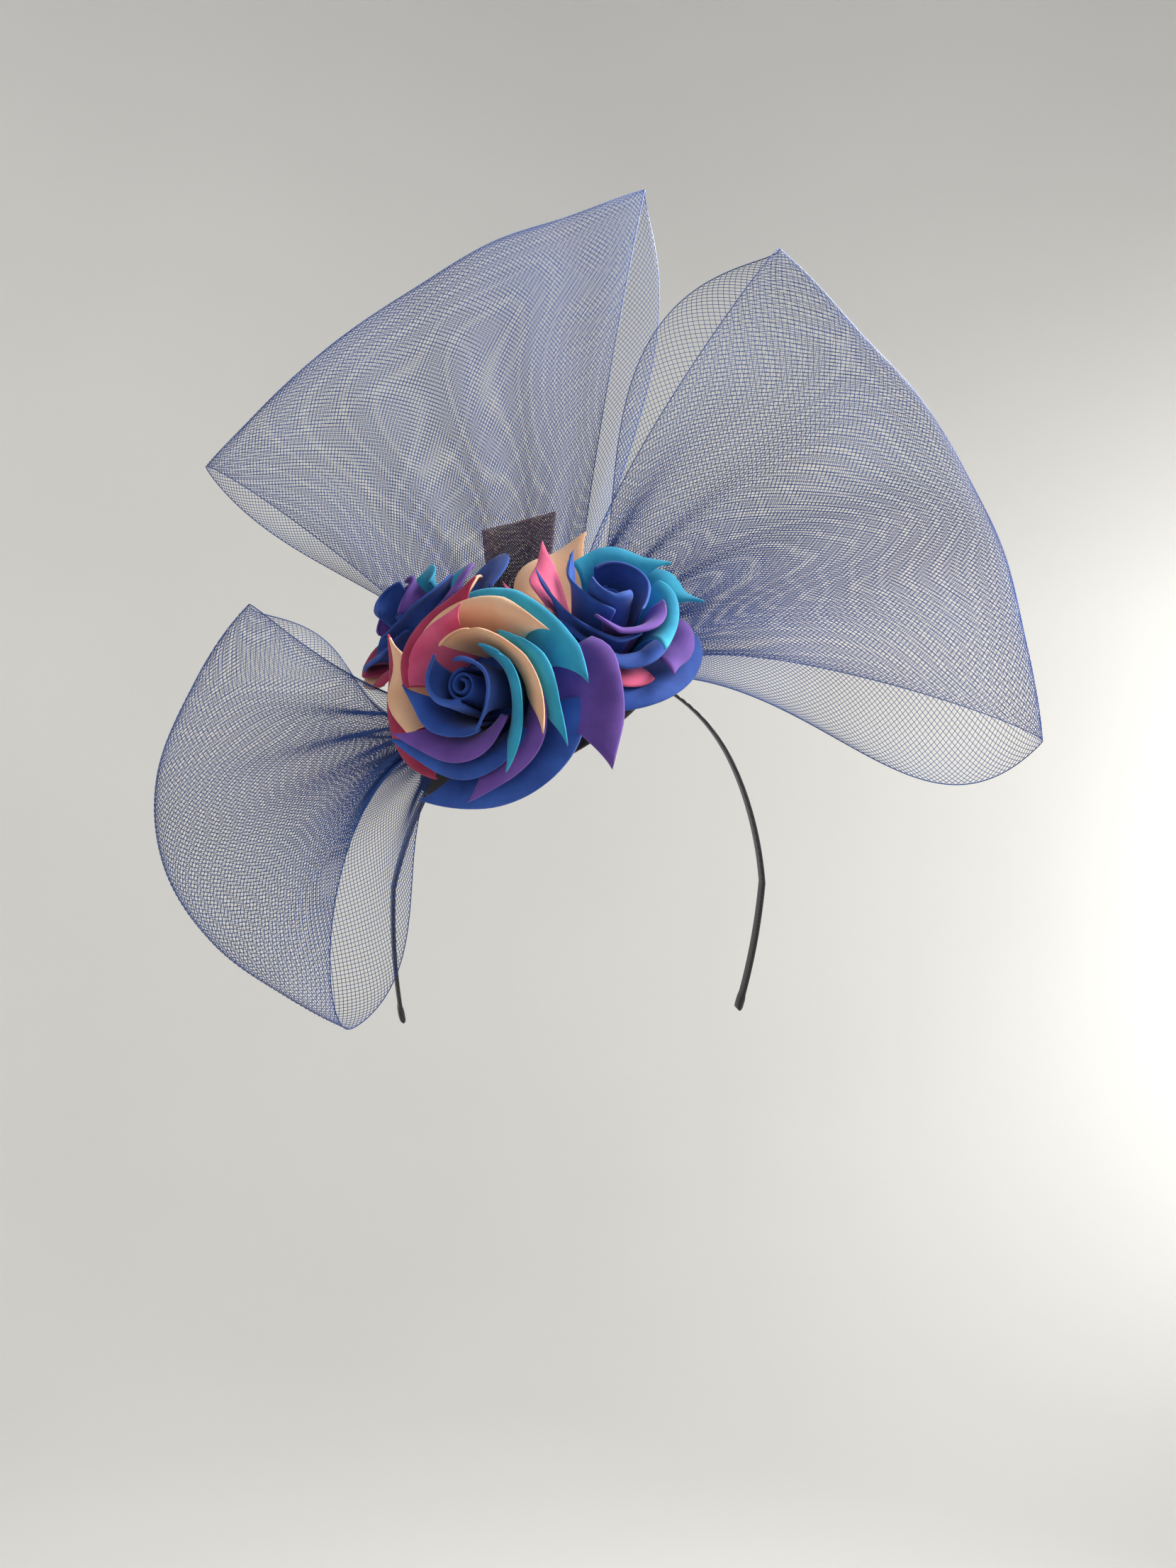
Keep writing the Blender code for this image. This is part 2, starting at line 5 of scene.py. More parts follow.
import bpy
import numpy as np
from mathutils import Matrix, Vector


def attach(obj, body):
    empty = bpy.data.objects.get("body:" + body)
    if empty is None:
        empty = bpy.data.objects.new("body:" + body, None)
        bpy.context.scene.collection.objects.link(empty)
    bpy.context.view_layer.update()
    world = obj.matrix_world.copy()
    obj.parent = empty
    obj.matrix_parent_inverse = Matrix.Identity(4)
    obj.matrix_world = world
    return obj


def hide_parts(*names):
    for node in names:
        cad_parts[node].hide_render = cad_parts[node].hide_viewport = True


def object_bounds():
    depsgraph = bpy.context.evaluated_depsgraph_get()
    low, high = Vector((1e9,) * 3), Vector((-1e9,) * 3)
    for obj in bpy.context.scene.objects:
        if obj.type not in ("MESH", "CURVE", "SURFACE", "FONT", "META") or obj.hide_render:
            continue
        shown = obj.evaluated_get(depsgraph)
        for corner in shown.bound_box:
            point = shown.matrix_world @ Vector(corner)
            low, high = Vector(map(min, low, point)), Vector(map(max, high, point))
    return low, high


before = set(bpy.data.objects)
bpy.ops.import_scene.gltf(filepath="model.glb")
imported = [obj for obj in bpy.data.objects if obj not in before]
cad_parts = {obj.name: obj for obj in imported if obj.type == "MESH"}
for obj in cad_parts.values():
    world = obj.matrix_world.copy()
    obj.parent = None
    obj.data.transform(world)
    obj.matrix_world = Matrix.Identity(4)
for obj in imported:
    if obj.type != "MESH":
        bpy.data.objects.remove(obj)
cad_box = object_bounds()

# Sizes of the part, in metres, as its source has them
HEAD_WIDTH, HEAD_LENGTH, HEAD_DROP = 0.156, 0.196, 0.095
CLEARANCE = 0.0003
BAND_LEAN = math.radians(14)
BAND_WIDTH, BAND_WALL, BAND_STAND_OFF = 0.006, 0.0018, 0.005
BAND_LEG, BAND_LEG_CURVE = 0.061, 0.160
BAND_TIP_LENGTH, BAND_TIP_WALL = 0.008, 0.0028
BASE_DIAMETER, BASE_WALL = 0.116, 0.0025
BASE_TURN, BASE_TIP = math.radians(-50), math.radians(30)
LOOP_REACH, LOOP_GAPE = 0.220, 0.060
FOOT_GAP, FOOT_WIDTH, CRIN_WALL = 0.0026, 0.040, 0.0014
LOOP_RISE, PLEAT_DEPTH, PLEATS, LEAVE = 0.010, 0.0022, 5, 0.040
SWELL_POWER, SWELL_FULL = 1.4, 1.3
FLARE_POWER, FLARE_FULL = 3.5, 6.0
ROSE_RADIUS, ROSE_HEIGHT = 0.044, 0.038
PETAL_WALL, PETAL_PITCH, PETAL_LIP = 0.0010, 0.0016, 0.003
BUD_RADIUS, BUD_WALL, BUD_TURNS = 0.0078, 0.0012, 2
PRESS_GAP, ROSE_BACK = 0.0016, 0.62
TAB_WIDTH, TAB_HEIGHT = 0.034, 0.066

VIEW_TURN = math.radians(-15)
SIDE = np.array([math.cos(VIEW_TURN), math.sin(VIEW_TURN), 0.0])
FACE = np.array([math.sin(VIEW_TURN), -math.cos(VIEW_TURN), 0.0])
UP = np.array([0.0, 0.0, 1.0])

# Sizes that only the dressing has: the braid's cells and threads, the foam, how far the bud is
# sunk as a share of the rose's height, how far the inner petals close round it, the size, tip and
# wave of a petal's rolled rim as a start and a growth with its reach, and the room
CELL, TAB_CELL = 0.00122, 0.00062
THREAD, SELVEDGE, TAB_THREAD = 0.00014, 0.00024, 0.00028
FOAM_WALL = 0.0012
BUD_SINK, CUP = 0.66, 0.0032
ROLL, ROLL_GROWTH, ROLL_START, ROLL_TURN = 0.0012, 0.0012, 0.58, 2.3
TIP_REACH, WAVE, WAVE_GROWTH = 0.0035, 0.0002, 0.0005
TIP_SLANT, START_SLANT = 0.17, 0.08
PLAIN_TIPS = ("rose_left",)
FLOOR_DROP, ROOM_RADIUS, COVE = 1.05, 4.0, 1.6

# Crin loops. The foot's middle is a share of half the base's diameter to the side and to the
# back, its line is turned by degrees, its width is a share of FOOT_WIDTH, and its first and last
# ends lie flat on the base from 0, upright, to 1. A loop has one row of ribs from its first
# selvedge to its last: the angle from upright in degrees, the reach and lean to the front as
# shares of LOOP_REACH, and the front and back gape and the back layer's sideways flare as shares
# of LOOP_GAPE.
RIB_COLUMNS = ("angle", "reach", "lean", "front", "back", "flare")
LOOPS = {
    "crin_loop_upper": {
        "foot": (0.05, 0.80),
        "foot_turn": -3,
        "foot_width": 1.15,
        "lies_flat": (0.0, 0.0),
        "ribs": (
            (-55, 0.77, -0.32, 0.35, 0.60, -0.10),
            (-44, 0.77, -0.35, 0.45, 0.55, -0.05),
            (-29, 0.80, -0.38, 0.55, 0.55, 0.00),
            (-14, 0.86, -0.41, 0.55, 0.55, 0.00),
            (-2, 0.95, -0.44, 0.50, 0.55, 0.05),
            (7, 1.02, -0.47, 0.45, 0.60, 0.19),
            (15, 1.12, -0.50, 0.40, 0.70, 0.32),
        ),
    },
    "crin_loop_right": {
        "foot": (0.665, 0.125),
        "foot_turn": -56,
        "foot_width": 1.13,
        "lies_flat": (0.0, 0.9),
        "ribs": (
            (33, 1.00, -0.14, 0.35, 0.70, -0.62),
            (46, 0.96, -0.10, 0.50, 0.60, -0.30),
            (57, 0.96, -0.06, 0.55, 0.55, 0.00),
            (68, 0.96, -0.02, 0.55, 0.55, 0.00),
            (77, 0.97, 0.02, 0.55, 0.55, 0.00),
            (87, 0.98, 0.05, 0.50, 0.60, 0.24),
            (98, 1.01, 0.09, 0.45, 0.70, 0.46),
        ),
    },
    "crin_loop_lower": {
        "foot": (-0.33, -0.22),
        "foot_turn": 95,
        "foot_width": 0.56,
        "lies_flat": (0.9, 0.9),
        "ribs": (
            (-158, 0.71, 0.16, 0.60, 0.40, -0.22),
            (-147, 0.72, 0.10, 0.55, 0.45, -0.10),
            (-134, 0.74, 0.05, 0.50, 0.45, 0.00),
            (-121, 0.74, -0.01, 0.50, 0.45, 0.00),
            (-108, 0.70, -0.07, 0.44, 0.45, 0.00),
            (-93, 0.61, -0.12, 0.38, 0.45, 0.10),
            (-75, 0.53, -0.18, 0.32, 0.50, 0.30),
        ),
    },
}

# Roses: middle of the hub as shares of half the base's diameter to the side and to the back,
# its rise as a share of ROSE_HEIGHT, the way that it faces (side, face, up), how strongly it
# holds its room against its neighbours, and its petals from the bud outwards. A petal has its
# first and last clock angle in degrees and its reach there as a share of ROSE_RADIUS.
ROSES = {
    "rose_front": {
        "seat": (0.01, -0.56, 0.51),
        "stem": (0.01, -0.50),
        "faces": (-0.45, 0.88, 0.12),
        "hold": 1.5,
        "crin_under": 0.0,
        "petals": (
            (150, 330, 0.24, 0.28, "blue"),
            (0, 150, 0.25, 0.50, "blue"),
            (150, 270, 0.57, 0.50, "blue"),
            (120, 240, 0.61, 0.70, "purple"),
            (30, 150, 0.40, 0.77, "turquoise"),
            (-30, 120, 0.36, 0.79, "peach"),
            (120, 240, 0.80, 0.77, "blue"),
            (90, 180, 0.81, 0.90, "purple"),
            (30, 120, 0.61, 0.94, "turquoise"),
            (270, 360, 0.61, 0.63, "pink"),
            (-60, 60, 0.77, 0.84, "peach"),
            (270, 360, 0.84, 0.88, "crimson"),
            (-30, 90, 0.94, 0.98, "turquoise"),
            (90, 210, 1.09, 0.98, "blue"),
            (240, 300, 0.93, 0.95, "peach"),
            (210, 300, 1.02, 1.05, "crimson"),
            (60, 120, 1.28, 1.30, "purple"),
        ),
    },
    "rose_right": {
        "seat": (0.63, -0.13, 0.43),
        "stem": (0.37, -0.06),
        "faces": (0.15, 0.77, 0.62),
        "hold": 1.0,
        "crin_under": 2.5,
        "petals": (
            (120, 270, 0.23, 0.28, "blue"),
            (-30, 150, 0.34, 0.41, "blue"),
            (180, 330, 0.38, 0.54, "blue"),
            (90, 210, 0.57, 0.49, "purple"),
            (150, 300, 0.55, 0.70, "blue"),
            (60, 150, 0.61, 0.68, "turquoise"),
            (-30, 60, 0.66, 0.64, "turquoise"),
            (120, 240, 0.77, 0.72, "blue"),
            (270, 330, 0.77, 0.84, "pink"),
            (90, 150, 0.84, 0.86, "purple"),
            (150, 240, 0.91, 0.80, "pink"),
            (210, 300, 0.88, 1.00, "pink"),
            (90, 210, 1.02, 0.98, "blue"),
            (-60, 0, 1.12, 1.00, "peach"),
            (30, 90, 0.80, 0.80, "turquoise"),
        ),
    },
    "rose_left": {
        "seat": (-0.30, 0.34, 0.66),
        "stem": (-0.18, 0.33),
        "faces": (-0.72, 0.30, 0.62),
        "hold": 1.1,
        "crin_under": 4.5,
        "petals": (
            (180, 330, 0.26, 0.38, "blue"),
            (0, 120, 0.28, 0.55, "purple"),
            (-30, 60, 0.50, 0.59, "turquoise"),
            (210, 330, 0.52, 0.57, "purple"),
            (30, 150, 0.68, 0.59, "blue"),
            (120, 210, 0.66, 0.75, "blue"),
            (210, 330, 0.70, 0.77, "blue"),
            (0, 90, 0.82, 0.80, "purple"),
            (180, 240, 0.80, 0.78, "crimson"),
            (240, 360, 0.88, 0.92, "turquoise"),
            (30, 90, 0.90, 0.88, "peach"),
            (120, 180, 0.88, 0.87, "crimson"),
            (-60, 60, 1.06, 1.02, "blue"),
            (180, 240, 0.88, 0.88, "peach"),
        ),
    },
}


def unit(vector):
    """A vector's direction."""
    return vector / np.linalg.norm(vector)


HEAD_AXES = np.array([HEAD_WIDTH / 2, HEAD_LENGTH / 2, HEAD_DROP])
BAND_UP = np.array([0.0, -math.sin(BAND_LEAN), math.cos(BAND_LEAN)])
HEAD_MIDDLE = -BAND_UP / np.linalg.norm(BAND_UP / HEAD_AXES)
BASE_OUT = unit(
    math.sin(BASE_TIP) * (math.sin(BASE_TURN) * FACE * -1.0 - math.cos(BASE_TURN) * SIDE)
    + math.cos(BASE_TIP) * UP
)
BASE_SIDE = unit(SIDE - SIDE.dot(BASE_OUT) * BASE_OUT)
BASE_BACK = np.cross(BASE_OUT, BASE_SIDE)
BASE_INSIDE = BAND_WALL + 2 * CLEARANCE
BASE_OUTSIDE = BASE_INSIDE + BASE_WALL


def over_head(direction, lift):
    """The point over the head in a direction from its middle, at a height above it."""
    return HEAD_MIDDLE + direction / np.linalg.norm(direction / (HEAD_AXES + lift))


def on_base(side, back, lift):
    """A point measured along the base's dome from its middle, lifted off its upper face."""
    arc = math.hypot(side, back) / HEAD_DROP
    across = (BASE_SIDE * side + BASE_BACK * back) / max(math.hypot(side, back), 1e-9)
    direction = BASE_OUT * math.cos(arc) + across * math.sin(arc)
    return over_head(direction, BASE_OUTSIDE + lift)


def height_over_base(point):
    """How far a point stands above the level of the base's upper face."""
    outward = point - HEAD_MIDDLE
    face = over_head(unit(outward), BASE_OUTSIDE)
    return np.linalg.norm(outward) - np.linalg.norm(face - HEAD_MIDDLE)


# Materials


def node_tree(name):
    """A new material with its tree, shader, and object coordinates."""
    made = bpy.data.materials.new(name)
    made.use_nodes = True
    tree = made.node_tree
    shader = tree.nodes["Principled BSDF"]
    place = tree.nodes.new("ShaderNodeTexCoord")
    return made, tree, shader, place.outputs["Object"]


def noise(tree, place, scale, detail=2.0, rough=0.5):
    """A noise texture's factor."""
    made = tree.nodes.new("ShaderNodeTexNoise")
    made.inputs["Scale"].default_value = scale
    made.inputs["Detail"].default_value = detail
    made.inputs["Roughness"].default_value = rough
    tree.links.new(place, made.inputs["Vector"])
    return made.outputs["Fac"]


def ramp(tree, factor, stops):
    """A colour ramp over a factor; stops are (place, red, green, blue)."""
    made = tree.nodes.new("ShaderNodeValToRGB")
    elements = made.color_ramp.elements
    while len(elements) < len(stops):
        elements.new(0.5)
    for element, (at, *colour) in zip(elements, stops):
        element.position = at
        element.color = (*colour, 1.0)
    tree.links.new(factor, made.inputs["Fac"])
    return made.outputs["Color"]


def bump(tree, factor, shader, strength, distance, under=None):
    """A bump from a factor, on the shader's normal or on another bump."""
    made = tree.nodes.new("ShaderNodeBump")
    made.inputs["Strength"].default_value = strength
    made.inputs["Distance"].default_value = distance
    tree.links.new(factor, made.inputs["Height"])
    if under is not None:
        tree.links.new(under, made.inputs["Normal"])
    tree.links.new(made.outputs["Normal"], shader.inputs["Normal"])
    return made.outputs["Normal"]


def foam(name, dark, light):
    """Matte craft foam: fine pores, a soft mottle and a little light through it."""
    made, tree, shader, place = node_tree(name)
    mottle = noise(tree, place, 55, 3)
    colour = ramp(tree, mottle, [(0.30, *dark), (0.70, *light)])
    tree.links.new(colour, shader.inputs["Base Color"])
    pores = noise(tree, place, 2600, 2, 0.7)
    wide = bump(tree, noise(tree, place, 240, 3), shader, 0.10, 0.001)
    bump(tree, pores, shader, 0.55, 0.0003, wide)
    shader.inputs["Roughness"].default_value = 0.78
    shader.inputs["Specular IOR Level"].default_value = 0.30
    shader.inputs["Sheen Weight"].default_value = 0.12
    shader.inputs["Sheen Roughness"].default_value = 0.5
    shader.inputs["Subsurface Weight"].default_value = 0.10
    shader.inputs["Subsurface Scale"].default_value = 0.002
    return made


def crin_material():
    """Nylon monofilament: deep blue, lighter where it catches the light."""
    made, tree, shader, place = node_tree("crin_thread")
    patch = noise(tree, place, 18, 2)
    colour = ramp(tree, patch, [(0.25, 0.007, 0.034, 0.20), (0.75, 0.026, 0.115, 0.44)])
    tree.links.new(colour, shader.inputs["Base Color"])
    shader.inputs["Roughness"].default_value = 0.28
    shader.inputs["Specular IOR Level"].default_value = 0.5
    shader.inputs["Coat Weight"].default_value = 0.12
    bump(tree, noise(tree, place, 900, 1), shader, 0.15, 0.0002)
    return made


def felt_material():
    """Pressed black felt with its nap."""
    made, tree, shader, place = node_tree("base_felt_nap")
    fibre = noise(tree, place, 1500, 4, 0.75)
    stops = [(0.3, 0.004, 0.004, 0.005), (0.8, 0.020, 0.020, 0.024)]
    tree.links.new(ramp(tree, fibre, stops), shader.inputs["Base Color"])
    bump(tree, fibre, shader, 0.6, 0.0005)
    shader.inputs["Roughness"].default_value = 0.95
    shader.inputs["Sheen Weight"].default_value = 0.25
    return made


def satin_material():
    """Black satin wound round the band, with its slanting weave."""
    made, tree, shader, place = node_tree("band_satin_weave")
    weave = tree.nodes.new("ShaderNodeTexWave")
    weave.bands_direction = "DIAGONAL"
    weave.inputs["Scale"].default_value = 420
    weave.inputs["Distortion"].default_value = 1.5
    tree.links.new(place, weave.inputs["Vector"])
    stops = [(0.2, 0.004, 0.004, 0.005), (0.9, 0.016, 0.016, 0.019)]
    tree.links.new(ramp(tree, weave.outputs["Fac"], stops), shader.inputs["Base Color"])
    bump(tree, weave.outputs["Fac"], shader, 0.35, 0.0002)
    shader.inputs["Roughness"].default_value = 0.42
    shader.inputs["Sheen Weight"].default_value = 0.15
    return made


def mesh_material():
    """The dark thread of the backing tab."""
    made, tree, shader, place = node_tree("tab_thread")
    stops = [(0.3, 0.055, 0.015, 0.026), (0.7, 0.120, 0.045, 0.062)]
    tree.links.new(ramp(tree, noise(tree, place, 90, 2), stops), shader.inputs["Base Color"])
    bump(tree, noise(tree, place, 1200, 1), shader, 0.2, 0.0002)
    shader.inputs["Roughness"].default_value = 0.55
    return made


def stage_material():
    """The pale matte floor and wall."""
    made, tree, shader, place = node_tree("pale_floor")
    stops = [(0.3, 0.84, 0.83, 0.805), (0.7, 0.88, 0.87, 0.845)]
    tree.links.new(ramp(tree, noise(tree, place, 0.9, 2), stops), shader.inputs["Base Color"])
    shader.inputs["Roughness"].default_value = 0.9
    return made


CRIN = crin_material()
FELT = felt_material()
SATIN = satin_material()
MESH = mesh_material()
FOAMS = {
    "blue": foam("foam_blue", (0.012, 0.045, 0.25), (0.035, 0.115, 0.48)),
    "purple": foam("foam_purple", (0.10, 0.045, 0.27), (0.19, 0.085, 0.42)),
    "turquoise": foam("foam_turquoise", (0.012, 0.24, 0.43), (0.04, 0.44, 0.66)),
    "peach": foam("foam_peach", (0.80, 0.42, 0.23), (0.92, 0.60, 0.40)),
    "pink": foam("foam_pink", (0.64, 0.075, 0.19), (0.82, 0.16, 0.31)),
    "crimson": foam("foam_crimson", (0.30, 0.018, 0.06), (0.48, 0.04, 0.12)),
}


# Building helpers


def piece_from(name, points, faces, material, nodes):
    """A mesh piece that rides on the hat and stands for CAD nodes."""
    mesh = bpy.data.meshes.new(name)
    mesh.from_pydata([tuple(p) for p in points], [], faces)
    mesh.shade_smooth()
    mesh.materials.append(material)
    mesh.update()
    made = bpy.data.objects.new(name, mesh)
    bpy.context.scene.collection.objects.link(made)
    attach(made, "root")
    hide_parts(*nodes)
    return made


def grid_normals(middle):
    """The unit normals of a grid of points."""
    normal = np.cross(np.gradient(middle, axis=0), np.gradient(middle, axis=1))
    length = np.linalg.norm(normal, axis=2, keepdims=True)
    return normal / np.maximum(length, 1e-12)


def skin(name, middle, wall, material, nodes):
    """A sheet of even thickness with a rounded rim, closed all round."""
    rows, columns = middle.shape[:2]
    normal = grid_normals(middle)
    top, under = middle + normal * wall / 2, middle - normal * wall / 2
    rim = ([(i, 0) for i in range(rows)] + [(rows - 1, j) for j in range(1, columns)]
           + [(i, columns - 1) for i in range(rows - 2, -1, -1)]
           + [(0, j) for j in range(columns - 2, 0, -1)])
    inner = {}
    for i, j in rim:
        k = min(max(i, 1), rows - 2)
        m = min(max(j, 1), columns - 2)
        out = middle[i, j] - middle[k, m]
        inner[(i, j)] = middle[i, j] + unit(out) * wall * 0.42
    points = np.concatenate([top.reshape(-1, 3), under.reshape(-1, 3),
                             np.array([inner[r] for r in rim])])
    size = rows * columns
    faces = []
    for i in range(rows - 1):
        for j in range(columns - 1):
            a, b = i * columns + j, (i + 1) * columns + j
            faces.append((a, b, b + 1, a + 1))
            faces.append((size + a, size + a + 1, size + b + 1, size + b))
    for n, (i, j) in enumerate(rim):
        k, m = rim[(n + 1) % len(rim)]
        a, b = i * columns + j, k * columns + m
        c, d = 2 * size + n, 2 * size + (n + 1) % len(rim)
        faces.append((b, a, c, d))
        faces.append((d, c, size + a, size + b))
    return piece_from(name, points, faces, material, nodes)


# Crin nets


def rib_table(loop):
    """A loop's ribs as columns of numbers."""
    return dict(zip(RIB_COLUMNS, np.array(LOOPS[loop]["ribs"], float).T))


def smooth_read(table, column, share):
    """A column read between its rows, on a smooth curve."""
    values = table[column]
    place = share * (len(values) - 1)
    i = min(int(place), len(values) - 2)
    f = place - i
    before = values[max(i - 1, 0)]
    after = values[min(i + 2, len(values) - 1)]
    a, b = values[i], values[i + 1]
    slope_a, slope_b = (b - before) / 2, (after - a) / 2
    return (
        a * (1 + 2 * f) * (1 - f) ** 2 + slope_a * f * (1 - f) ** 2
        + b * f * f * (3 - 2 * f) - slope_b * f * f * (1 - f)
    )


def loop_rib(loop, share, pleated=True):
    """One rib: foot, way out of it, fold, and its front and back gape and flare."""
    table = rib_table(loop)
    side, back = LOOPS[loop]["foot"]
    flat_first, flat_last = LOOPS[loop]["lies_flat"]
    flat = flat_first + (flat_last - flat_first) * share
    half = BASE_DIAMETER / 2
    turn = math.radians(LOOPS[loop]["foot_turn"])
    along = (share - 0.5) * FOOT_WIDTH * LOOPS[loop]["foot_width"]
    pleat = PLEAT_DEPTH * math.sin(2 * math.pi * PLEATS * share) if pleated else 0.0
    line = (math.cos(turn), math.sin(turn))
    over = (-math.sin(turn), math.cos(turn))
    foot_side = side * half + along * line[0] + pleat * over[0]
    foot_back = back * half + along * line[1] + pleat * over[1]
    lift = 2 * CLEARANCE + 0.6 * (FOOT_GAP + CRIN_WALL) * flat
    foot = on_base(foot_side, foot_back, lift)
    level = over[0] * BASE_SIDE + over[1] * BASE_BACK
    outward = unit(unit(foot - HEAD_MIDDLE) * (1 - flat) + level * flat)
    angle = math.radians(smooth_read(table, "angle", share))
    root = on_base(0, 0, LOOP_RISE)
    fold = root + LOOP_REACH * (
        smooth_read(table, "reach", share) * (math.sin(angle) * SIDE + math.cos(angle) * UP)
        + smooth_read(table, "lean", share) * FACE
    )
    gapes = [LOOP_GAPE * smooth_read(table, key, share) for key in RIB_COLUMNS[3:]]
    return foot, outward, fold, gapes


def middle_grid(ribs, along):
    """The surface midway between a loop's layers, and how it runs outwards."""
    foot, outward, fold = (np.array([r[k] for r in ribs])[:, None] for k in range(3))
    rest = 1 - along
    bend = foot + outward * LEAVE
    middle = foot * rest**2 + 2 * bend * along * rest + fold * along**2
    return middle, 2 * rest * (bend - foot) + 2 * along * (fold - bend)


def loop_grid(loop, shares, turns):
    """The braid's surface as a grid: shares across it, turns from foot to foot."""
    along = np.sin(turns)[None, :, None]
    ribs = [loop_rib(loop, s) for s in shares]
    middle = middle_grid(ribs, along)[0]
    front, back, flare = (np.array([r[3][k] for r in ribs])[:, None, None] for k in range(3))
    plain, outgoing = middle_grid([loop_rib(loop, s, False) for s in shares], along)
    across = np.gradient(plain, axis=0)
    across /= np.linalg.norm(across, axis=2, keepdims=True)
    facing = np.cross(outgoing, across)
    facing /= np.linalg.norm(facing, axis=2, keepdims=True)
    facing = np.where((facing @ FACE)[:, :, None] < 0, -facing, facing)
    cosine = np.cos(turns)[None, :, None]
    swell = SWELL_FULL * along**SWELL_POWER
    apart = cosine * (FOOT_GAP / 2 + swell * np.where(cosine > 0, front, back))
    aside = np.maximum(0.0, -cosine) ** 2 * FLARE_FULL * along**FLARE_POWER * flare
    return middle + facing * apart + across * aside


def by_length(grid, count):
    """A grid whose columns are spaced evenly along each row."""
    out = np.empty((grid.shape[0], count, 3))
    for i, row in enumerate(grid):
        run = np.concatenate([[0], np.cumsum(np.linalg.norm(np.diff(row, axis=0), axis=1))])
        wanted = np.linspace(0, run[-1], count)
        for axis in range(3):
            out[i, :, axis] = np.interp(wanted, run, row[:, axis])
    return out


def read_grid(grid, x, y):
    """Points of a grid at shares x of its rows and y of its columns."""
    rows, columns = grid.shape[:2]
    u, v = np.clip(x, 0, 1) * (rows - 1), np.clip(y, 0, 1) * (columns - 1)
    i, j = np.minimum(u.astype(int), rows - 2), np.minimum(v.astype(int), columns - 2)
    f, g = (u - i)[:, None], (v - j)[:, None]
    return (grid[i, j] * (1 - f) * (1 - g) + grid[i + 1, j] * f * (1 - g)
            + grid[i, j + 1] * (1 - f) * g + grid[i + 1, j + 1] * f * g)


def net(name, grid, cell, thread, material, nodes, selvedge=0.0):
    """Braided threads on a surface, running both ways across it at a slant, and its selvedges."""
    normal = grid_normals(grid)
    middle_row = grid[grid.shape[0] // 2]
    length = np.linalg.norm(np.diff(middle_row, axis=0), axis=1).sum()
    width = max(np.linalg.norm(np.diff(grid[:, j], axis=0), axis=1).sum()
                for j in range(0, grid.shape[1], 8))
    across = 2 * max(4, round(0.92 * width / cell / 2))
    along = 2 * max(4, round(length / cell / 2))
    points, faces = [], []
    angles = np.radians([90, 210, 330])

    def lay(x, y, lift, radius):
        """One three-sided thread over shares x and y of the surface."""
        path, out = read_grid(grid, x, y), read_grid(normal, x, y)
        path = path + out * lift
        tangent = np.gradient(path, axis=0)
        tangent /= np.maximum(np.linalg.norm(tangent, axis=1, keepdims=True), 1e-12)
        beside = np.cross(tangent, out)
        beside /= np.maximum(np.linalg.norm(beside, axis=1, keepdims=True), 1e-12)
        ring = [path + radius * (math.cos(a) * beside + math.sin(a) * out) for a in angles]
        start, last = sum(map(len, points)), len(path) - 1
        points.append(np.stack(ring, axis=1).reshape(-1, 3))
        for n in range(last):
            a = start + 3 * n
            faces.extend([(a, a + 1, a + 4, a + 3), (a + 1, a + 2, a + 5, a + 4),
                          (a + 2, a, a + 3, a + 5)])
        end = start + 3 * last
        faces.extend([(start, start + 2, start + 1), (end, end + 1, end + 2)])

    for lean, edge in ((1, 0), (-1, across)):
        starts = [(edge, m) for m in range(0, along, 2)] + [(k, 0) for k in range(2, across, 2)]
        for k, m in starts:
            steps = min(across - k if lean == 1 else k, along - m)
            if steps < 1:
                continue
            run = np.unique(np.append(np.arange(0, steps, 2), steps))
            lay((k + lean * run) / across, (m + run) / along, thread * 0.9 * lean, thread)
    if selvedge:
        for edge in (0.0, 1.0):
            y = np.linspace(0, 1, along)
            lay(np.full(along, edge), y, 0.0, selvedge)
    made = piece_from(name, np.concatenate(points), faces, material, nodes)
    return made, width, length


def crin_net(loop):
    """One loop of braid as its threads."""
    shares = np.linspace(0, 1, 121)
    turns = np.linspace(0, math.pi, 241)
    grid = by_length(loop_grid(loop, shares, turns), 241)
    name = loop.replace("loop", "net")
    made, width, length = net(name, grid, CELL, THREAD, CRIN, [loop], SELVEDGE)


# Roses


def rose_frame(name):
    """A rose's hub and its axis, with the directions of twelve and three o'clock."""
    side, back, rise = ROSES[name]["seat"]
    half = BASE_DIAMETER / 2
    hub = on_base(side * half, back * half, rise * ROSE_HEIGHT)
    faces = ROSES[name]["faces"]
    axis = unit(faces[0] * SIDE + faces[1] * FACE + faces[2] * UP)
    twelve = unit(UP - UP.dot(axis) * axis)
    return hub, axis, twelve, np.cross(twelve, axis)


def rim_height(reach):
    """The height of a rose's dome over its hub at a distance from its axis."""
    return max(ROSE_HEIGHT * (1 - (reach / (1.2 * ROSE_RADIUS)) ** 2), 0.12 * ROSE_HEIGHT)


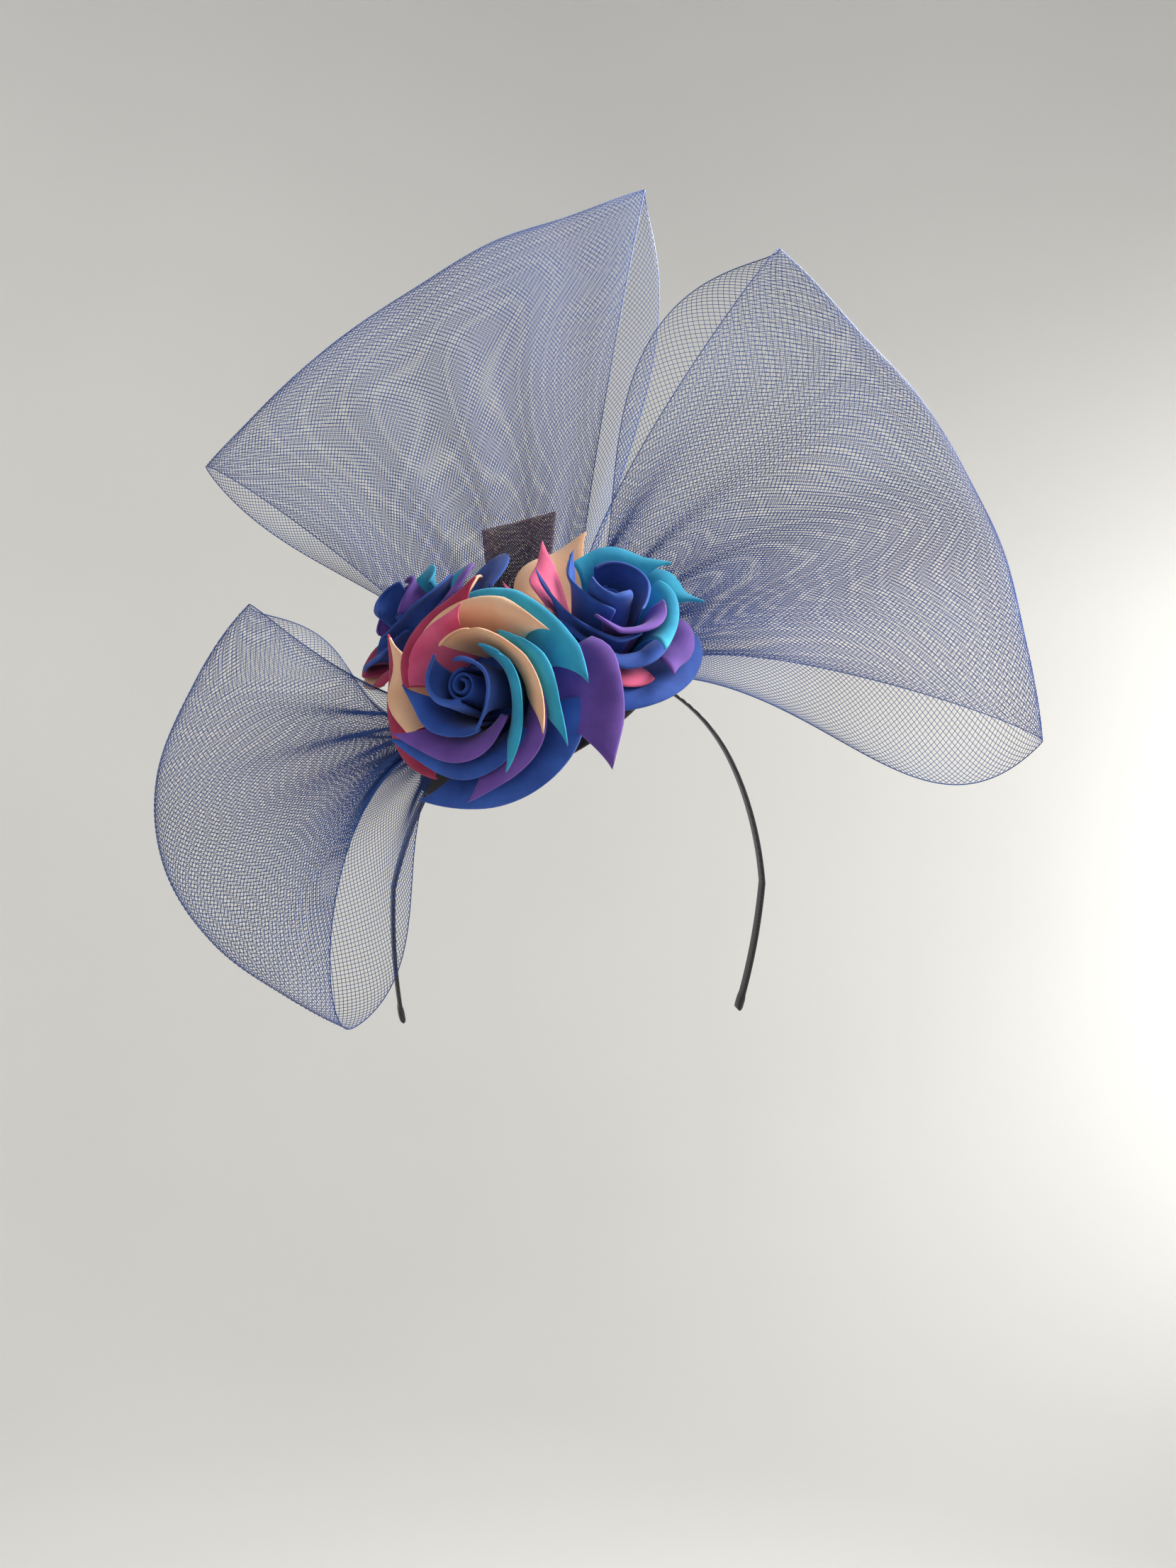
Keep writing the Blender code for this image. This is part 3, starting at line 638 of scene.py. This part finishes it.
def room(name, clock):
    """How far a rose can spread at a clock angle before a neighbour or the head."""
    hub, axis, twelve, three = rose_frame(name)
    spoke = math.cos(clock) * twelve + math.sin(clock) * three
    most = 1.3 * ROSE_RADIUS
    middle = hub + axis * ROSE_HEIGHT * 0.35
    start = hub + axis * ROSE_HEIGHT * 0.2
    for other in ROSES:
        if other == name:
            continue
        there_hub, there_axis = rose_frame(other)[:2]
        there = there_hub + there_axis * ROSE_HEIGHT * 0.35
        part = ROSES[name]["hold"] / (ROSES[name]["hold"] + ROSES[other]["hold"])
        wall = middle + (there - middle) * part
        towards = unit(there - middle)
        closing = spoke.dot(towards)
        if closing > 0.05:
            most = min(most, ((wall - start).dot(towards) - PRESS_GAP) / closing)
    screen = on_base(0, ROSE_BACK * BASE_DIAMETER / 2, 0)
    if spoke.dot(-FACE) > 0.05:
        most = min(most, (screen - start).dot(-FACE) / spoke.dot(-FACE))
    while most > ROSE_RADIUS / 2:
        rim = hub + spoke * most + axis * rim_height(most)
        if height_over_base(rim) > PETAL_WALL + PETAL_LIP + ROSES[name]["crin_under"] * FOOT_GAP:
            break
        most -= 0.0005
    return most


def petal_layers(petals):
    """Each petal's layer: one more than the petals inside it that it overlaps."""
    layers = []
    for i, (start, end, *_) in enumerate(petals):
        under = [0]
        for j, (first, last, *_) in enumerate(petals[:i]):
            for lap in (-360, 0, 360):
                if first + lap < end and start < last + lap:
                    under.append(layers[j])
        layers.append(max(under) + 1)
    return layers


def petal_grid(name, petal, layer, rooms, number):
    """A petal's middle surface, with its rim rolled outwards."""
    hub, axis, twelve, three = rose_frame(name)
    start, end, near, far, _ = petal
    count = max(9, int((end - start) / 4))
    shares = np.linspace(0, 1, count)
    climbs = np.concatenate([np.linspace(0, 0.72, 9), np.linspace(0.76, 1.0, 9)])
    foot = BUD_RADIUS + BUD_WALL + (layer - 0.5) * PETAL_PITCH
    out = np.empty((count, len(climbs), 3))
    rng = np.random.default_rng(100 + number)
    waves = rng.uniform(0, 2 * math.pi, 3)
    for i, share in enumerate(shares):
        clock = start + 2.0 + (end - start - 4.0) * share
        wanted = ROSE_RADIUS * (near + (far - near) * share)
        pressed = min(1.0, np.interp(clock % 360, rooms[0], rooms[1]) / (1.06 * ROSE_RADIUS))
        reach = foot + (wanted - foot) * pressed
        height = rim_height(wanted)
        ease = 0.2 + 0.3 * wanted / ROSE_RADIUS
        size = wanted / ROSE_RADIUS
        early = max(0.0, 0.55 - share) / 0.55
        tip = max(0.0, share - 0.72) / 0.28
        crest = 1.0 - (0.10 + 0.20 * size) * early**1.7
        crest += 0.012 * math.sin(2 * math.pi * 1.7 * share + waves[0])
        roll = (ROLL + ROLL_GROWTH * size) * (1 - 0.45 * tip) * pressed
        point = TIP_REACH * tip**2 * (0.4 + size) * pressed**3
        if name in PLAIN_TIPS:
            crest = 1.0 - (0.06 + 0.26 * size) * abs(2 * share - 1.2) ** 1.6
            point = 0.0
        for j, climb in enumerate(climbs):
            t = climb * crest
            rest = 1 - t
            away = foot * rest * rest + 2 * (foot + ease * (reach - foot)) * t * rest + reach * t * t
            up = CLEARANCE + PETAL_WALL / 2 + 2 * height * 0.9 * t * rest + height * t * t
            away -= CUP * climb**2 * (layer <= 2)
            curl = max(0.0, (climb - ROLL_START) / (1 - ROLL_START))
            bend = ROLL_TURN * curl**1.2
            away += roll * (math.sin(bend) - 0.55 * curl) + point * climb**2
            up -= roll * (1 - math.cos(bend))
            up += 0.5 * point * climb**2
            wave = (WAVE + WAVE_GROWTH * size) * climb**2 * pressed
            away += wave * math.sin(2 * math.pi * 1.3 * share + waves[1])
            up += 0.7 * wave * math.sin(2 * math.pi * 1.9 * share + waves[2])
            slant = TIP_SLANT * (climb**1.5 - 1) * share**3
            slant += START_SLANT * (1 - climb) * (1 - share) ** 2
            angle = math.radians(clock + (end - start) * slant)
            spoke = math.cos(angle) * twelve + math.sin(angle) * three
            out[i, j] = hub + spoke * away + axis * up
    return out


def rose(name):
    """One rose: its rolled bud and its petals."""
    clocks = np.arange(0, 361, 6)
    rooms = (clocks, np.array([room(name, math.radians(c)) for c in clocks]))
    rooms = (rooms[0], np.convolve(np.concatenate([rooms[1][-3:-1], rooms[1], rooms[1][1:3]]),
                                   np.ones(5) / 5, mode="valid"))
    rows = ROSES[name]["petals"]
    for number, (petal, layer) in enumerate(zip(rows, petal_layers(rows)), 1):
        grid = petal_grid(name, petal, layer, rooms, number)
        node = f"{name}_petal_{number:02d}"
        made = skin(f"{node}_foam", grid, FOAM_WALL, FOAMS[petal[4]], [node])
    hub, axis, twelve, three = rose_frame(name)
    turns = np.linspace(0, BUD_TURNS * 2 * math.pi, 90)
    grid = np.empty((len(turns), 9, 3))
    for i, turn in enumerate(turns):
        grow = turn / turns[-1]
        spoke = math.cos(turn) * twelve + math.sin(turn) * three
        radius = (BUD_RADIUS - BUD_WALL / 2) * (0.30 + 0.70 * grow)
        for j, rise in enumerate(np.linspace(0, 1, 9)):
            waist = 1.0 - 0.10 * max(0.0, (rise - 0.5) / 0.5)
            top = BUD_SINK * (1.0 - 0.06 * grow)
            up = CLEARANCE + BUD_WALL * 0.6 + rise * ROSE_HEIGHT * top
            grid[i, j] = hub + axis * up + spoke * radius * waist
    made = skin(f"{name}_bud_foam", grid, BUD_WALL, FOAMS["blue"], [f"{name}_bud"])


# Base, band and tab


def band():
    """The satin band, smooth over the crown and down both legs."""
    leg_end = math.asin(BAND_LEG / BAND_LEG_CURVE)
    stations = []
    for angle in np.radians(np.linspace(-90, 90, 73)):
        stand_off = BAND_STAND_OFF * max(0.0, (abs(angle) / (math.pi / 2) - 0.55) / 0.45) ** 2
        direction = np.array([math.sin(angle), 0, 0]) + BAND_UP * math.cos(angle)
        stations.append((over_head(direction, stand_off), unit(direction), BAND_WALL))
    tip = leg_end * (1 - BAND_TIP_LENGTH / BAND_LEG)
    marks = [(a, BAND_WALL) for a in np.linspace(0.02, tip, 14)]
    marks += [(tip + 0.012, BAND_TIP_WALL * 0.95), (tip + 0.02, BAND_TIP_WALL)]
    marks += [(leg_end - 0.012, BAND_TIP_WALL), (leg_end - 0.004, BAND_TIP_WALL * 0.85)]
    marks += [(leg_end, 0.0008)]
    sides = {}
    for sign in (-1, 1):
        outward = np.array([float(sign), 0, 0])
        sides[sign] = [(HEAD_MIDDLE + outward * (HEAD_WIDTH / 2 + BAND_STAND_OFF) * math.cos(a)
                        - BAND_UP * BAND_LEG_CURVE * math.sin(a), outward, w) for a, w in marks]
    stations = sides[-1][::-1] + stations + sides[1]
    edge = np.cross(np.array([1.0, 0, 0]), BAND_UP)
    around = np.radians(np.arange(0, 360, 22.5))
    points, faces = [], []
    for point, outward, wall in stations:
        middle = point + outward * BAND_WALL / 2
        for a in around:
            c, s = math.cos(a), math.sin(a)
            wide = math.copysign(abs(c) ** 0.45, c) * BAND_WIDTH / 2
            deep = math.copysign(abs(s) ** 0.6, s) * wall / 2
            points.append(middle + edge * wide + outward * deep)
    n = len(around)
    for i in range(len(stations) - 1):
        for j in range(n):
            k = (j + 1) % n
            faces.append((i * n + j, i * n + k, (i + 1) * n + k, (i + 1) * n + j))
    faces.append(tuple(range(n))[::-1])
    faces.append(tuple(range((len(stations) - 1) * n, len(stations) * n)))
    made = piece_from("headband_satin", points, faces, SATIN, ["headband"])
    made.data.set_sharp_from_angle(angle=math.radians(60))


def dome():
    """The felt base, smooth, with a rounded rim."""
    half = BASE_DIAMETER / 2
    spokes = np.radians(np.arange(0, 360, 4))
    rings = [(r, 0.0) for r in (0.02, 0.2, 0.4, 0.6, 0.8, 0.92, 0.97)]
    rings += [(0.99, -0.12), (1.0, -0.35), (1.0, -0.65), (0.99, -0.88)]
    rings += [(r, -1.0) for r in (0.97, 0.92, 0.8, 0.6, 0.4, 0.2, 0.02)]
    points, faces = [], []
    for r, lift in rings:
        for a in spokes:
            points.append(on_base(half * r * math.cos(a), half * r * math.sin(a), lift * BASE_WALL))
    n = len(spokes)
    for i in range(len(rings) - 1):
        for j in range(n):
            k = (j + 1) % n
            faces.append((i * n + j, (i + 1) * n + j, (i + 1) * n + k, i * n + k))
    faces.append(tuple(range(n)))
    faces.append(tuple(range((len(rings) - 1) * n, len(rings) * n))[::-1])
    piece_from("base_felt", points, faces, FELT, ["base"])


def tab():
    """The backing tab as a dense dark net."""
    half = BASE_DIAMETER / 2
    grid = []
    for across in np.linspace(-0.5, 0.5, 25):
        foot = on_base(0.02 * half + across * TAB_WIDTH * 0.6, 0.605 * half, CLEARANCE)
        column = []
        for rise in np.linspace(0, 1, 49):
            over = TAB_WIDTH * 0.4 * across * rise
            back = 0.05 * TAB_HEIGHT * rise * rise - 0.08 * TAB_HEIGHT * (2 * across) ** 2 * rise
            column.append(foot + SIDE * over + UP * TAB_HEIGHT * rise - FACE * back)
        grid.append(column)
    made, width, length = net("backing_tab_mesh", np.array(grid), TAB_CELL, TAB_THREAD, MESH,
                              ["backing_tab"])


def stage():
    """A round pale room: floor, cove and wall in one."""
    rings = []
    for r in np.linspace(0.0, ROOM_RADIUS - COVE, 8):
        rings.append((max(r, 0.01), 0.0))
    for a in np.radians(np.linspace(10, 90, 9)):
        rings.append((ROOM_RADIUS - COVE + COVE * math.sin(a), COVE * (1 - math.cos(a))))
    rings += [(ROOM_RADIUS, 3.0), (ROOM_RADIUS, 5.0)]
    points, faces, n = [], [], 72
    floor = cad_box[0][2] - FLOOR_DROP
    for r, z in rings:
        for a in np.linspace(0, 2 * math.pi, n, endpoint=False):
            points.append((r * math.cos(a), r * math.sin(a), floor + z))
    for i in range(len(rings) - 1):
        for j in range(n):
            k = (j + 1) % n
            faces.append((i * n + j, i * n + k, (i + 1) * n + k, (i + 1) * n + j))
    faces.append(tuple(range(n))[::-1])
    mesh = bpy.data.meshes.new("floor")
    mesh.from_pydata([tuple(p) for p in points], [], faces)
    mesh.shade_smooth()
    mesh.materials.append(stage_material())
    made = bpy.data.objects.new("floor", mesh)
    bpy.context.scene.collection.objects.link(made)


def light(name, place, size, power, colour, aim=(0.0, 0.0, 0.02)):
    """A soft rectangular light, aimed at the hat or at another place."""
    lamp = bpy.data.lights.new(name, "AREA")
    lamp.shape = "RECTANGLE"
    lamp.size, lamp.size_y = size
    lamp.energy = power
    lamp.color = colour
    made = bpy.data.objects.new(name, lamp)
    where, there = (SIDE * p[0] - FACE * p[1] + UP * p[2] for p in (place, aim))
    made.location = where
    look = unit(there - where)
    made.rotation_euler = (math.acos(-look[2]), 0.0, math.atan2(look[0], -look[1]) + math.pi)
    bpy.context.scene.collection.objects.link(made)


def camera():
    """The camera of the photograph."""
    eye = bpy.data.cameras.new("camera")
    eye.sensor_fit = "VERTICAL"
    eye.sensor_height = 36.0
    eye.lens = 38.2
    eye.clip_start = 0.01
    made = bpy.data.objects.new("camera", eye)
    made.location = (-0.1876, -0.6853, -0.048)
    made.rotation_euler = (math.radians(90), 0.0, VIEW_TURN)
    bpy.context.scene.collection.objects.link(made)
    bpy.context.scene.camera = made


def surroundings():
    """Soft pale light from all round."""
    world = bpy.data.worlds.new("soft_world")
    world.use_nodes = True
    world.node_tree.nodes["Background"].inputs["Color"].default_value = (0.90, 0.94, 1.0, 1.0)
    world.node_tree.nodes["Background"].inputs["Strength"].default_value = 0.38
    bpy.context.scene.world = world
    bpy.context.scene.view_settings.view_transform = "Standard"


camera()
for loop_name in LOOPS:
    crin_net(loop_name)
for rose_name in ROSES:
    rose(rose_name)
    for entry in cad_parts[f"{rose_name}_calyx"].material_slots:
        entry.material = FOAMS["blue"]
dome()
band()
tab()
stage()
surroundings()
light("window", (1.15, 0.12, 0.85), (0.65, 0.75), 54, (1.0, 0.98, 0.95))
light("window_behind", (0.7, 1.2, 0.5), (0.9, 0.9), 14, (0.95, 0.97, 1.0))
light("wall_wash", (2.0, 2.6, 0.0), (0.8, 0.8), 19, (1.0, 0.99, 0.96), (0.8, 4.0, -0.2))
light("room_fill", (0.5, -1.3, 0.6), (1.0, 1.0), 2.0, (0.92, 0.95, 1.0))
